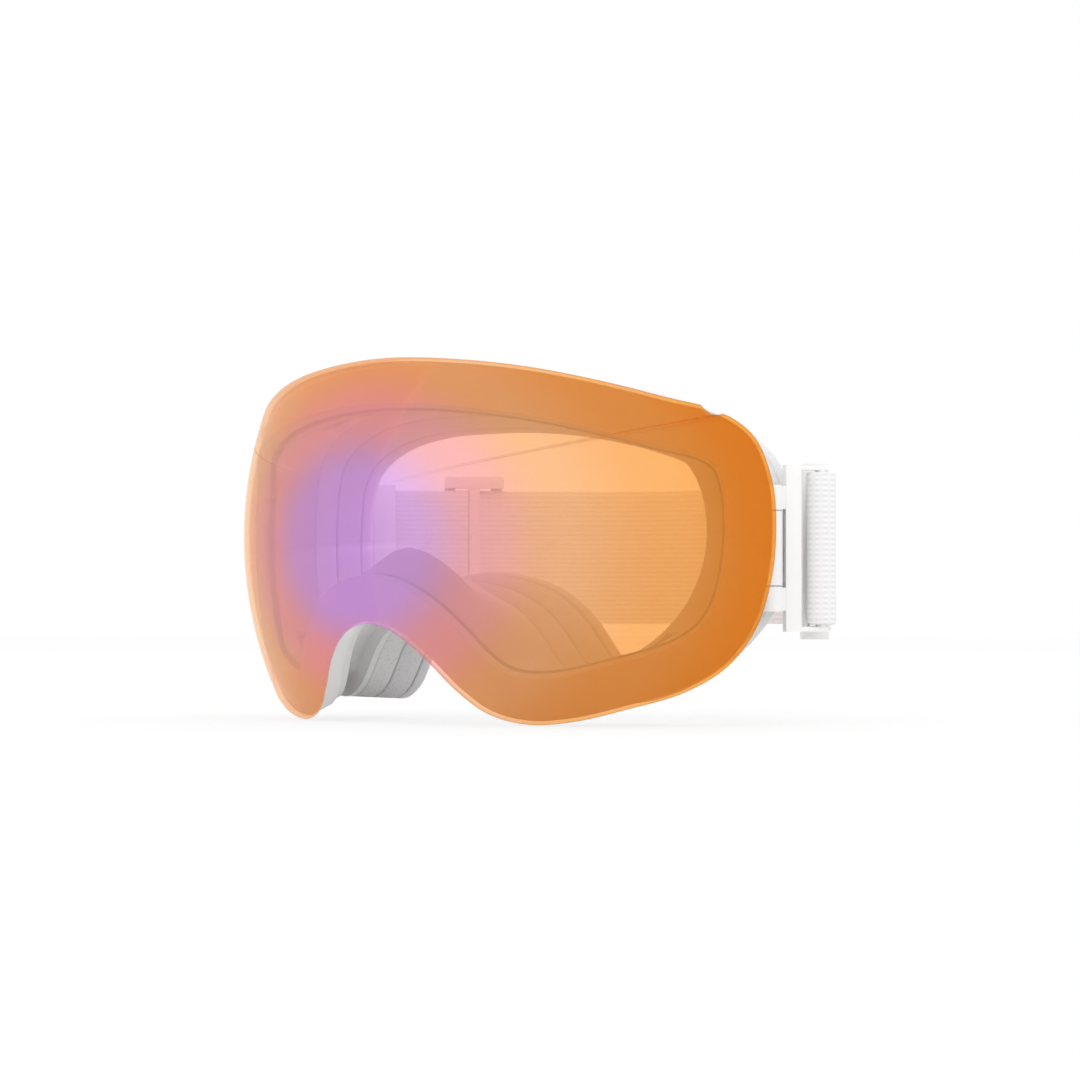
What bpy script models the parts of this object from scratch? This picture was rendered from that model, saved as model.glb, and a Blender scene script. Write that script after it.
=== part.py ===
"""Ski goggles with an oversized spherical double lens, for Blender 4.5.

Metres, +Z up, the wearer looks along -Y. Every shape is laid out from the centre of the lens sphere, where
the empty "goggles" stands. The lens edge and the frame's back edge are two half outlines with the same
stations, from the top centre round the wearer's left side (+X) to the nose, and every ring is a loft between
insets of those two.
"""

import math

import bmesh
import bpy
from mathutils import Matrix, Vector

MM = 0.001
GAP = 0.3 * MM  # between pieces that touch on the real object
RING_STEPS = 2  # mesh steps from one outline station to the next

# Lens: a double lens on one sphere. Arc lengths are measured along the outer surface.
LENS_RADIUS = 104 * MM
LENS_HALF_ARC = 108.5 * MM
LENS_TOP_ARC = 44.3 * MM
LENS_DROP_ARC = 49.3 * MM
OUTER_LENS_WALL = 1.4 * MM
INNER_LENS_WALL = 1.0 * MM
LENS_AIR_GAP = 4.0 * MM
NOTCH_RADIUS = 4.0 * MM
NOTCH_DEPTH = 1.2 * MM
NOTCH_SHARE = 0.872  # of LENS_HALF_ARC

# Widths inwards from the lens edge, along the lens
CARRIER_START = 0.6 * MM
FLANGE_START = 1.4 * MM
MAGNET_INSET = 5.3 * MM
CARRIER_END = 7.5 * MM
INNER_LENS_INSET = 8.0 * MM
OPENING_INSET = 12.0 * MM

# Frame: flexible moulding, a channel that is open outwards between its front and back flanges
FLANGE_WALL = 2.4 * MM
FRAME_WALL = 2.0 * MM
BACK_FRONT_Y = -74 * MM  # back flange at the middle, from the sphere's centre
FACE_RADIUS = 120 * MM  # curve of the back flange across the face
BACK_FLANGE_WIDTH = 7.0 * MM
BACK_HALF_WIDTH = 75.3 * MM
BACK_TOP = 39 * MM
BACK_DROP = 41.6 * MM
NOSE_RISE = 8.0 * MM  # hump of the inner wall over the nose
NOSE_HALF_WIDTH = 32 * MM
CHANNEL_LEAST = 0.12  # share of the channel's depth that is left at the nose

# Vents through the frame's wall
VENT_LENGTH = 12 * MM
VENT_WIDTH = 5.0 * MM
VENT_DEPTH = 8.0 * MM
TOP_VENTS = (-2, -1, 0, 1, 2)
CHEEK_VENTS = (12, 14)
VENT_FOAM_THICKNESS = 1.5 * MM
VENT_FOAM_SHARES = (0.15, 0.75)  # of the channel's floor, front to back
BROW_FOAM_END = 3
CHEEK_FOAM_START, CHEEK_FOAM_END = 11, 15

# Face foam: three layers glued to the back flange
FOAM_LAYERS = (("foam_base", 7.5), ("foam_middle", 8.5), ("foam_face", 4.4))
FOAM_WIDTH_TOP = 14 * MM
FOAM_WIDTH_CHEEK = 10.5 * MM
FOAM_FLARE = 1.0 * MM

# Magnets in the frame, steel discs in the lens carrier, and locating pegs
MAGNET_STATIONS = (2, 7, 13)
DISC_RADIUS = 2.0 * MM
DISC_THICKNESS = 1.5 * MM
PEG_STATIONS = (4, 11)
PEG_RADIUS = 1.4 * MM
PEG_TIP = 0.8 * MM  # past the back of the flange
PEG_CLEARANCE = 0.4 * MM

# Hinge and outrigger, on each side
SIDE_Z = -4.6 * MM
HINGE_X = 81.5 * MM
HINGE_Y = -44.5 * MM
PIN_RADIUS = 1.0 * MM
KNUCKLE_RADIUS = 3.0 * MM
LUG_HEIGHT = 18 * MM
LUG_NECK = 11.5 * MM  # from the hinge into the frame's channel
LUG_ANGLE = math.radians(60)  # from +X towards +Y
KNUCKLE_HEIGHT = 6.0 * MM
OUTRIGGER_WALL = 3.0 * MM
BAR_REACH = 12.9 * MM  # hinge to strap bar
OUTRIGGER_ANGLE = math.radians(54.5)  # from +X towards +Y
BAR_RADIUS = 1.5 * MM
SLOT_WIDTH = 4.0 * MM

# Strap: 37 mm elastic webbing at its shortest setting
STRAP_WIDTH = 37 * MM
OUTRIGGER_RIM = 1.75 * MM  # above and below the strap
OUTRIGGER_HEIGHT = STRAP_WIDTH + 2 * OUTRIGGER_RIM
STRAP_THICKNESS = 1.8 * MM
STRAP_ANGLE = math.radians(48.7)  # from straight across, towards the back
STRAP_STRAIGHT = 70 * MM
STRAP_BACK_FLAT = 8.0 * MM  # half of the flat run at the very back
KEEPER_AT = 20 * MM  # from the strap bar, along the strap
KEEPER_LENGTH = 6.0 * MM
KEEPER_WALL = 1.2 * MM
SLIDER_AT = 45 * MM
SLIDER_LENGTH = 16 * MM
SLIDER_BAR = 3.0 * MM
SLIDER_WALL = 1.6 * MM

# Half outlines: station by station, as shares of the half width and of the height above or below the
# sphere's centre
LENS_EDGE = (
    (0, 1), (0.203, 0.975), (0.406, 0.916), (0.59, 0.826), (0.756, 0.722), (0.876, 0.645), (0.955, 0.505),
    (0.992, 0.27), (1, -0.005), (0.99, -0.264), (0.959, -0.507), (0.899, -0.69), (0.802, -0.822),
    (0.664, -0.913), (0.525, -0.984), (0.406, -1), (0.309, -0.945), (0.235, -0.822), (0.175, -0.68),
    (0.115, -0.564), (0.058, -0.495), (0, -0.471),
)
BACK_EDGE = (
    (0, 1), (0.226, 0.99), (0.452, 0.938), (0.651, 0.846), (0.803, 0.726), (0.903, 0.577), (0.963, 0.397),
    (0.993, 0.179), (1, -0.048), (0.983, -0.276), (0.936, -0.505), (0.863, -0.697), (0.77, -0.846),
    (0.664, -0.952), (0.571, -1), (0.485, -0.995), (0.412, -0.925), (0.363, -0.817), (0.316, -0.697),
    (0.246, -0.587), (0.133, -0.517), (0, -0.493),
)

WHITE = (0.86, 0.86, 0.87, 1)
LIGHT_GREY = (0.66, 0.67, 0.67, 1)
GREY = (0.55, 0.56, 0.56, 1)
ORANGE = (0.85, 0.3, 0.05, 1)
STEEL = (0.6, 0.6, 0.62, 1)


# ---------------------------------------------------------------- outlines

def stretched(shares, half_width, top, drop):
    """Half outline from its shares: widths by half_width, heights by top above the centre, by drop below."""
    return [Vector((a * half_width, b * (top if b > 0 else drop))) for a, b in shares]


def mirrored_loop(half):
    """Closed list of points from a half list that starts and ends on the middle plane."""
    other = []
    for point in reversed(half[1:-1]):
        flipped = point.copy()
        flipped.x = -flipped.x
        other.append(flipped)
    return list(half) + other


def smooth_point(before, start, end, after, t):
    """Point at share t of the centripetal Catmull-Rom span from start to end."""
    knots = [0.0]
    for a, b in ((before, start), (start, end), (end, after)):
        knots.append(knots[-1] + max((b - a).length, 1e-9) ** 0.5)
    t = knots[1] + t * (knots[2] - knots[1])

    def mix(a, b, low, high):
        return a * ((high - t) / (high - low)) + b * ((t - low) / (high - low))

    first = mix(before, start, knots[0], knots[1])
    second = mix(start, end, knots[1], knots[2])
    third = mix(end, after, knots[2], knots[3])
    low = mix(first, second, knots[0], knots[2])
    high = mix(second, third, knots[1], knots[3])
    return mix(low, high, knots[1], knots[2])


def smooth_loop(half, steps=RING_STEPS):
    """Closed smooth loop through a half outline and its mirror image, with steps points to each station."""
    loop = mirrored_loop(half)
    count = len(loop)
    points = []
    for i in range(count):
        for step in range(steps):
            corners = [loop[(i + k) % count] for k in (-1, 0, 1, 2)]
            points.append(smooth_point(*corners, step / steps))
    return points


def inset(half, distance):
    """Half outline moved inwards. distance is one number, or one for each station."""
    loop = mirrored_loop(half)
    moved = []
    for i, point in enumerate(half):
        along = (loop[(i + 1) % len(loop)] - loop[i - 1]).normalized()
        step = distance[i] if isinstance(distance, list) else distance
        moved.append(point + Vector((along.y, -along.x)) * step)
    moved[0].x = moved[-1].x = 0
    return moved


LENS_HALF = stretched(LENS_EDGE, LENS_HALF_ARC, LENS_TOP_ARC, LENS_DROP_ARC)
BACK_HALF = stretched(BACK_EDGE, BACK_HALF_WIDTH, BACK_TOP, BACK_DROP)


def on_sphere(point, radius):
    """Place on a sphere of this radius, from arc lengths on the lens's outer surface."""
    across, up = point.x / LENS_RADIUS, point.y / LENS_RADIUS
    level = math.cos(up)
    return Vector((level * math.sin(across), -level * math.cos(across), math.sin(up))) * radius


def on_face(point, depth):
    """Place on the curve that follows the face, depth behind the back flange's rear side."""
    sag = FACE_RADIUS - math.sqrt(FACE_RADIUS**2 - point.x**2)
    return Vector((point.x, BACK_FRONT_Y + sag + depth, point.y))


def lens_loop(distance, radius):
    """Half loop on a sphere, distance inwards from the lens's edge."""
    return [on_sphere(p, radius) for p in inset(LENS_HALF, distance)]


def face_loop(distance, depth):
    """Half loop on the face curve, distance inwards from the back flange's edge."""
    return [on_face(p, depth) for p in inset(BACK_HALF, distance)]


# ---------------------------------------------------------------- objects

def collection(name):
    made = bpy.data.collections.new(name)
    bpy.context.scene.collection.children.link(made)
    return made


def material(name, colour, roughness, metallic=0.0):
    made = bpy.data.materials.new(name)
    made.use_nodes = True
    shader = made.node_tree.nodes["Principled BSDF"]
    shader.inputs["Base Color"].default_value = colour
    shader.inputs["Roughness"].default_value = roughness
    shader.inputs["Metallic"].default_value = metallic
    return made


for old in list(bpy.data.objects):
    bpy.data.objects.remove(old)
GOGGLES = collection("ski_goggles")
CUTTERS = collection("cutters")
CUTTERS.hide_render = True
MATERIALS = {
    "lens": material("lens_orange", ORANGE, 0.08),
    "carrier": material("carrier_grey", LIGHT_GREY, 0.5),
    "frame": material("frame_white", WHITE, 0.45),
    "spacer": material("spacer_foam", LIGHT_GREY, 0.95),
    "foam_light": material("face_foam_light", LIGHT_GREY, 0.95),
    "foam_dark": material("face_foam_grey", GREY, 0.95),
    "plastic": material("plastic_white", WHITE, 0.35),
    "webbing": material("webbing_white", WHITE, 0.85),
    "steel": material("steel", STEEL, 0.3, 1.0),
}


def place(name, mesh, slot, home, location=(0, 0, 0)):
    """New part from a mesh, under the empty home."""
    part = bpy.data.objects.new(name, mesh)
    mesh.materials.append(MATERIALS[slot])
    GOGGLES.objects.link(part)
    part.parent = home
    part.location = location
    return part


def mesh_of(bm, name):
    """Mesh from a bmesh, with its faces pointing out."""
    bmesh.ops.recalc_face_normals(bm, faces=bm.faces)
    mesh = bpy.data.meshes.new(name)
    bm.to_mesh(mesh)
    bm.free()
    mesh.shade_smooth()
    mesh.set_sharp_from_angle(angle=math.radians(35))
    return mesh


def bridge(bm, rings, closed):
    """Quads between rows of vertices, each a closed ring. closed joins the last row to the first."""
    rows = len(rings) if closed else len(rings) - 1
    for r in range(rows):
        here, there = rings[r], rings[(r + 1) % len(rings)]
        for i in range(len(here)):
            j = (i + 1) % len(here)
            bm.faces.new((here[i], here[j], there[j], there[i]))


def ring(name, halves, slot, home):
    """Closed ring lofted through half loops, which are the corners of its section in order."""
    bm = bmesh.new()
    rings = [[bm.verts.new(p) for p in smooth_loop(half)] for half in halves]
    bridge(bm, rings, closed=True)
    return place(name, mesh_of(bm, name), slot, home)


def strip(name, corners, slot, home):
    """Capped bar lofted through open rows of points, which are the corners of its section in order."""
    bm = bmesh.new()
    rows = [[bm.verts.new(p) for p in row] for row in zip(*corners)]
    bridge(bm, rows, closed=False)
    bm.faces.new(rows[0])
    bm.faces.new(rows[-1])
    return place(name, mesh_of(bm, name), slot, home)


def cylinder(radius, height, centre, axis=(0, 0, 1), segments=24):
    """Mesh data of a capped cylinder, as a bmesh."""
    bm = bmesh.new()
    turn = Vector((0, 0, 1)).rotation_difference(Vector(axis)).to_matrix().to_4x4()
    bmesh.ops.create_cone(
        bm, cap_ends=True, segments=segments, radius1=radius, radius2=radius, depth=height,
        matrix=Matrix.Translation(centre) @ turn,
    )
    return bm


def box(size, centre, axes=None):
    """Box as a bmesh. axes are the directions of its sides; without them it is square to the world."""
    bm = bmesh.new()
    turn = Matrix(axes).transposed().to_4x4() if axes else Matrix.Identity(4)
    scale = Matrix.Diagonal((*size, 1))
    bmesh.ops.create_cube(bm, size=1, matrix=Matrix.Translation(centre) @ turn @ scale)
    return bm


def cutter(name, shapes, home):
    """Object of one or more closed bodies that only cuts or joins other pieces."""
    bm = bmesh.new()
    for shape in shapes:
        bmesh.ops.recalc_face_normals(shape, faces=shape.faces)
        spare = bpy.data.meshes.new("spare")
        shape.to_mesh(spare)
        shape.free()
        bm.from_mesh(spare)
        bpy.data.meshes.remove(spare)
    mesh = bpy.data.meshes.new(name)
    bm.to_mesh(mesh)
    bm.free()
    tool = bpy.data.objects.new(name, mesh)
    CUTTERS.objects.link(tool)
    tool.parent = home
    tool.hide_render = True
    tool.display_type = "WIRE"
    return tool


def combine(part, tool, operation):
    """Boolean of a tool object on a part."""
    modifier = part.modifiers.new(tool.name, "BOOLEAN")
    modifier.object = tool
    modifier.operation = operation
    modifier.solver = "EXACT"


# ---------------------------------------------------------------- lens

def resampled(points, count):
    """The same open path with count points, evenly spaced along it."""
    lengths = [0.0]
    for a, b in zip(points, points[1:]):
        lengths.append(lengths[-1] + (b - a).length)
    found, k = [], 0
    for i in range(count):
        target = lengths[-1] * i / (count - 1)
        while k < len(points) - 2 and lengths[k + 1] < target:
            k += 1
        found.append(points[k].lerp(points[k + 1], (target - lengths[k]) / (lengths[k + 1] - lengths[k])))
    return found


LENS_COLUMNS, LENS_ROWS = 22, 9
SIDE_STATIONS = (6, 10)  # the lens's outer edge runs between these stations
FINE_STEPS = 8


def lens_sheet(distance, radius):
    """Half of a lens sheet on a sphere, open at the middle plane: a grid blended between its four edges."""
    half = inset(LENS_HALF, distance)
    fine = smooth_loop(half, FINE_STEPS)
    high, low = (k * FINE_STEPS for k in SIDE_STATIONS)
    nose = (len(half) - 1) * FINE_STEPS
    top = resampled(fine[: high + 1], LENS_COLUMNS)
    side = resampled(fine[high : low + 1][::-1], LENS_ROWS)
    bottom = resampled(fine[low : nose + 1][::-1], LENS_COLUMNS)
    middle = resampled([fine[nose], fine[0]], LENS_ROWS)
    bm = bmesh.new()
    grid = []
    for j in range(LENS_ROWS):
        t = j / (LENS_ROWS - 1)
        row = []
        for i in range(LENS_COLUMNS):
            s = i / (LENS_COLUMNS - 1)
            flat = bottom[i].lerp(top[i], t) + middle[j].lerp(side[j], s)
            flat -= bottom[0].lerp(top[0], t).lerp(bottom[-1].lerp(top[-1], t), s)
            row.append(bm.verts.new(on_sphere(flat, radius)))
        grid.append(row)
    for lower, upper in zip(grid, grid[1:]):
        for i in range(LENS_COLUMNS - 1):
            bm.faces.new((lower[i], lower[i + 1], upper[i + 1], upper[i]))
    return bm


def lens(name, distance, radius, wall, home):
    """Whole lens: a half sheet, mirrored, with its thickness inwards."""
    bm = lens_sheet(distance, radius)
    mesh = bpy.data.meshes.new(name)
    bm.to_mesh(mesh)
    bm.free()
    mesh.shade_smooth()
    part = place(name, mesh, "lens", home)
    mirror = part.modifiers.new("mirror", "MIRROR")
    mirror.merge_threshold = 0.00005
    solidify = part.modifiers.new("wall", "SOLIDIFY")
    solidify.thickness = wall
    solidify.offset = -1
    solidify.use_even_offset = True
    return part


def notch_cutters(home):
    """Small bites in the lens's upper edge, inboard of its outer corners, where a finger lifts the lens off."""
    across = NOTCH_SHARE * LENS_HALF_ARC
    upper = smooth_loop(LENS_HALF, FINE_STEPS)[: SIDE_STATIONS[1] * FINE_STEPS]
    edge = min(upper, key=lambda p: abs(p.x - across))
    shapes = []
    for side in (1, -1):
        middle = Vector((side * edge.x, edge.y + NOTCH_RADIUS - NOTCH_DEPTH))
        centre = on_sphere(middle, LENS_RADIUS)
        shapes.append(cylinder(NOTCH_RADIUS, 12 * MM, centre, centre.normalized()))
    return cutter("lens_notch_cutter", shapes, home)


CARRIER_FRONT = LENS_RADIUS - OUTER_LENS_WALL - GAP
INNER_LENS_FRONT = LENS_RADIUS - OUTER_LENS_WALL - LENS_AIR_GAP
INNER_LENS_BACK = INNER_LENS_FRONT - INNER_LENS_WALL
CARRIER_BACK = INNER_LENS_BACK + 0.1 * MM
FLANGE_FRONT = INNER_LENS_BACK - GAP
FLANGE_BACK = FLANGE_FRONT - FLANGE_WALL


def station_places(stations, distance, radius):
    """Places on a sphere at these stations, on both sides, distance inwards from the lens's edge."""
    half = inset(LENS_HALF, distance)
    return [
        on_sphere(Vector((side * half[k].x, half[k].y)), radius)
        for k in stations
        for side in (1, -1)
    ]


def peg_places():
    """Root of each locating peg in the carrier, and its length back through the frame's flange."""
    places = []
    for root in station_places(PEG_STATIONS, MAGNET_INSET, (CARRIER_FRONT + CARRIER_BACK) / 2):
        slope = -root.y / root.length
        places.append((root, (root.length - FLANGE_BACK) / slope + PEG_TIP))
    return places


def lens_assembly(home):
    """Outer and inner lens, the foam spacer between them, and the carrier ring that the magnets hold."""
    outer = lens("outer_lens", 0, LENS_RADIUS, OUTER_LENS_WALL, home)
    notches = notch_cutters(home)
    combine(outer, notches, "DIFFERENCE")
    lens("inner_lens", INNER_LENS_INSET, INNER_LENS_FRONT, INNER_LENS_WALL, home)
    spacer = (
        (CARRIER_END + GAP, CARRIER_FRONT),
        (OPENING_INSET, CARRIER_FRONT),
        (OPENING_INSET, INNER_LENS_FRONT + GAP),
        (CARRIER_END + GAP, INNER_LENS_FRONT + GAP),
    )
    ring("lens_spacer", [lens_loop(d, r) for d, r in spacer], "spacer", home)
    section = (
        (CARRIER_START, CARRIER_FRONT),
        (CARRIER_END, CARRIER_FRONT),
        (CARRIER_END, CARRIER_BACK),
        (CARRIER_START, CARRIER_BACK),
    )
    carrier = ring("lens_carrier", [lens_loop(d, r) for d, r in section], "carrier", home)
    pegs = []
    for root, length in peg_places():
        pegs.append(cylinder(PEG_RADIUS, length, root + Vector((0, length / 2, 0)), (0, 1, 0), 16))
    combine(carrier, cutter("carrier_pegs", pegs, home), "UNION")
    pockets = []
    depth = DISC_THICKNESS + GAP
    for i, face in enumerate(station_places(MAGNET_STATIONS, MAGNET_INSET, CARRIER_BACK)):
        out = face.normalized()
        pockets.append(cylinder(DISC_RADIUS + GAP, 2 * depth, face, out))
        centre = face + out * (DISC_THICKNESS / 2)
        disc = cylinder(DISC_RADIUS, DISC_THICKNESS, (0, 0, 0), out)
        place(f"steel_disc_{i + 1}", mesh_of(disc, "steel_disc"), "steel", home, centre)
    combine(carrier, cutter("steel_disc_pockets", pockets, home), "DIFFERENCE")
    combine(carrier, notches, "DIFFERENCE")


# ---------------------------------------------------------------- frame

def nose_share(station):
    """1 at the nose, 0 away from it, for a station of the half outlines."""
    if station < len(BACK_HALF) // 2:
        return 0.0
    near = max(0.0, 1 - abs(BACK_HALF[station].x) / NOSE_HALF_WIDTH)
    return near * near * (3 - 2 * near)


def frame_walls():
    """Half loops of the frame's section, in order round it."""
    shares = [nose_share(k) for k in range(len(BACK_HALF))]
    deep = [1 - (1 - CHANNEL_LEAST) * min(1.0, 1.6 * s) for s in shares]
    front_depth = OPENING_INSET - FRAME_WALL - FLANGE_START
    back_depth = BACK_FLANGE_WIDTH - FRAME_WALL
    front_in = lens_loop(OPENING_INSET, FLANGE_FRONT)
    back_in = face_loop(BACK_FLANGE_WIDTH, 0)
    humped = []
    for a, b, share in zip(front_in, back_in, shares):
        humped.append(a.lerp(b, 0.45) + Vector((0, 0, NOSE_RISE * share)))
    return {
        "front_out": lens_loop(FLANGE_START, FLANGE_FRONT),
        "front_in": front_in,
        "hump": humped,
        "back_in": back_in,
        "back_out": face_loop(0, 0),
        "back_out_front": face_loop(0, -FRAME_WALL),
        "channel_back": face_loop([d * back_depth for d in deep], -FRAME_WALL),
        "channel_front": lens_loop([FLANGE_START + d * front_depth for d in deep], FLANGE_BACK),
        "front_out_back": lens_loop(FLANGE_START, FLANGE_BACK),
    }


def side_point(place_at, side):
    """The same place on the other side, for side -1."""
    return Vector((place_at[0] * side, place_at[1], place_at[2]))


def vent_cutters(walls, home):
    """Slots through the channel's wall: a row over the forehead and two under each cheek."""
    shapes = []
    cheeks = [(k, side) for k in CHEEK_VENTS for side in (1, -1)]
    brow = [(abs(k), 1 if k >= 0 else -1) for k in TOP_VENTS]
    for k, side in brow + cheeks:
        here = (walls["front_in"][k] + walls["back_in"][k]) / 2
        deep = (walls["back_in"][k] - walls["front_in"][k]).normalized()
        ahead = walls["front_in"][k + 1]
        behind = side_point(ahead, -1) if k == 0 else walls["front_in"][k - 1]
        along = (ahead - behind).normalized()
        out = along.cross(deep).normalized()
        axes = [side_point(v, side) for v in (along, deep, out)]
        shapes.append(box((VENT_LENGTH, VENT_WIDTH, VENT_DEPTH), side_point(here, side), axes))
    return cutter("vent_cutter", shapes, home)


def vent_foam(name, walls, first, last, home):
    """Thin foam strip on the channel's floor, from one station to another. The right side's are negative."""
    edges = ("channel_front", "channel_back", "front_in", "back_in")
    loops = [smooth_loop(walls[edge]) for edge in edges]
    rows = [[], [], [], []]
    for k in range(first * RING_STEPS, last * RING_STEPS + 1):
        front, back, inner_front, inner_back = (loop[k] for loop in loops)
        out = (front + back - inner_front - inner_back).normalized()
        low, high = front.lerp(back, VENT_FOAM_SHARES[0]), front.lerp(back, VENT_FOAM_SHARES[1])
        lift, top = out * 2 * GAP, out * (2 * GAP + VENT_FOAM_THICKNESS)
        for row, point in zip(rows, (low + lift, low + top, high + top, high + lift)):
            row.append(point)
    strip(name, rows, "foam_dark", home)


def hinge_lugs(home):
    """Hard lugs on the frame's temples, each with a bore for the outrigger's pin."""
    lugs, bores = [], []
    for side in (1, -1):
        hinge = Vector((side * HINGE_X, HINGE_Y, SIDE_Z))
        lugs.append(cylinder(KNUCKLE_RADIUS, LUG_HEIGHT, hinge))
        along = Vector((side * math.cos(LUG_ANGLE), math.sin(LUG_ANGLE), 0))
        across = Vector((side * math.sin(LUG_ANGLE), -math.cos(LUG_ANGLE), 0))
        size = (LUG_NECK, 2 * KNUCKLE_RADIUS - 0.4 * MM, LUG_HEIGHT - 2 * MM)
        lugs.append(box(size, hinge - along * LUG_NECK / 2, (along, across, Vector((0, 0, 1)))))
        bores.append(cylinder(PIN_RADIUS + GAP, 2 * LUG_HEIGHT, hinge))
    return lugs, bores


def frame(home):
    """Frame with its vents, hinge lugs, magnet pockets and peg holes."""
    walls = frame_walls()
    part = ring("frame", list(walls.values()), "frame", home)
    combine(part, vent_cutters(walls, home), "DIFFERENCE")
    lugs, bores = hinge_lugs(home)
    for i in range(0, len(lugs), 2):
        for k, shape in enumerate(lugs[i : i + 2]):
            combine(part, cutter(f"hinge_lug_{i // 2}_{k}", [shape], home), "UNION")
    combine(part, cutter("hinge_bores", bores, home), "DIFFERENCE")
    pockets = []
    depth = DISC_THICKNESS + GAP
    for i, face in enumerate(station_places(MAGNET_STATIONS, MAGNET_INSET, FLANGE_FRONT)):
        out = face.normalized()
        pockets.append(cylinder(DISC_RADIUS + GAP, 2 * depth, face, out))
        magnet = cylinder(DISC_RADIUS, DISC_THICKNESS, (0, 0, 0), out)
        centre = face - out * (DISC_THICKNESS / 2)
        place(f"magnet_{i + 1}", mesh_of(magnet, "magnet"), "steel", home, centre)
    for root, length in peg_places():
        pockets.append(cylinder(PEG_RADIUS + PEG_CLEARANCE, 4 * length, root, (0, 1, 0), 16))
    combine(part, cutter("flange_pockets", pockets, home), "DIFFERENCE")
    vent_foam("vent_foam_top", walls, -BROW_FOAM_END, BROW_FOAM_END, home)
    vent_foam("vent_foam_left", walls, CHEEK_FOAM_START, CHEEK_FOAM_END, home)
    vent_foam("vent_foam_right", walls, -CHEEK_FOAM_END, -CHEEK_FOAM_START, home)


def face_foam(home):
    """Three layers of foam behind the back flange. The layers widen towards the face, more at the brow."""
    height = BACK_TOP + BACK_DROP
    cheek = [min(1.0, max(0.0, (BACK_TOP - p.y) / height * 1.4 - 0.2)) for p in BACK_HALF]
    wide = [FOAM_WIDTH_TOP + (FOAM_WIDTH_CHEEK - FOAM_WIDTH_TOP) * c for c in cheek]
    total = sum(thickness for _, thickness in FOAM_LAYERS)
    start = 0.0
    for name, thickness in FOAM_LAYERS:
        near, far = start / total, (start + thickness) / total
        front, back = (start * MM + GAP), (start + thickness) * MM
        inner = [
            [BACK_FLANGE_WIDTH + (w - BACK_FLANGE_WIDTH) * share for w in wide]
            for share in (near, far)
        ]
        slot = "foam_light" if name == "foam_base" else "foam_dark"
        section = [
            face_loop(-FOAM_FLARE * near, front),
            face_loop(inner[0], front),
            face_loop(inner[1], back),
            face_loop(-FOAM_FLARE * far, back),
        ]
        ring(name, section, slot, home)
        start += thickness


# ---------------------------------------------------------------- outriggers and strap

def unite(name, shapes, slot, home, location):
    """Part joined from overlapping closed bodies: the first one, with the others united with it."""
    first, *others = shapes
    part = place(name, mesh_of(first, name), slot, home, location)
    for i, shape in enumerate(others):
        tool = cutter(f"{name}_join_{i}", [shape], home)
        tool.location = location
        combine(part, tool, "UNION")
    return part


def outrigger(side, label, home):
    """Hinged arm that carries the strap's bar, with its pin."""
    hinge = Vector((side * HINGE_X, HINGE_Y, SIDE_Z))
    reach = Vector((side * math.cos(OUTRIGGER_ANGLE), math.sin(OUTRIGGER_ANGLE), 0))
    across = Vector((side * math.sin(OUTRIGGER_ANGLE), -math.cos(OUTRIGGER_ANGLE), 0))
    axes = (reach, across, Vector((0, 0, 1)))
    web_start = KNUCKLE_RADIUS + 0.6 * MM
    web_end = BAR_REACH - BAR_RADIUS - SLOT_WIDTH
    rail = (OUTRIGGER_HEIGHT - STRAP_WIDTH) / 2 - 2 * GAP
    web = box(
        (web_end - web_start, OUTRIGGER_WALL, OUTRIGGER_HEIGHT),
        reach * (web_start + web_end) / 2,
        axes,
    )
    shapes = [web]
    for up in (1, -1):
        middle = up * (LUG_HEIGHT / 2 + GAP + KNUCKLE_HEIGHT / 2)
        shapes.append(cylinder(KNUCKLE_RADIUS, KNUCKLE_HEIGHT, (0, 0, middle)))
        size = (web_start + 1 * MM, OUTRIGGER_WALL - 0.4 * MM, KNUCKLE_HEIGHT - 0.4 * MM)
        shapes.append(box(size, reach * (web_start + 1 * MM) / 2 + Vector((0, 0, middle)), axes))
        length = BAR_REACH + BAR_RADIUS - web_start - 0.5 * MM
        centre = reach * (web_start + 0.5 * MM + length / 2)
        height = up * (OUTRIGGER_HEIGHT - rail - 0.2 * MM) / 2
        shapes.append(box((length, OUTRIGGER_WALL - 0.2 * MM, rail), centre + Vector((0, 0, height)), axes))
    shapes.append(cylinder(BAR_RADIUS, OUTRIGGER_HEIGHT - rail, reach * BAR_REACH))
    part = unite(f"outrigger_{label}", shapes, "plastic", home, hinge)
    pin_room = cylinder(PIN_RADIUS + GAP, 2 * OUTRIGGER_HEIGHT, (0, 0, 0))
    bore = cutter(f"outrigger_bore_{label}", [pin_room], home)
    bore.location = hinge
    combine(part, bore, "DIFFERENCE")
    pin_length = LUG_HEIGHT + 2 * KNUCKLE_HEIGHT + 2 * GAP
    pin = cylinder(PIN_RADIUS, pin_length, (0, 0, 0))
    place(f"hinge_pin_{label}", mesh_of(pin, "hinge_pin"), "steel", home, hinge)


OUTRIGGER_REACH = Vector((math.cos(OUTRIGGER_ANGLE), math.sin(OUTRIGGER_ANGLE)))
BAR = Vector((HINGE_X, HINGE_Y)) + BAR_REACH * OUTRIGGER_REACH
ALONG = Vector((-math.cos(STRAP_ANGLE), math.sin(STRAP_ANGLE)))
OUTWARD = Vector((math.sin(STRAP_ANGLE), math.cos(STRAP_ANGLE)))
LAYER = (STRAP_THICKNESS + GAP) / 2  # from the strap's middle line to the middle of either layer
WRAP = BAR_RADIUS + GAP + STRAP_THICKNESS / 2


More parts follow.
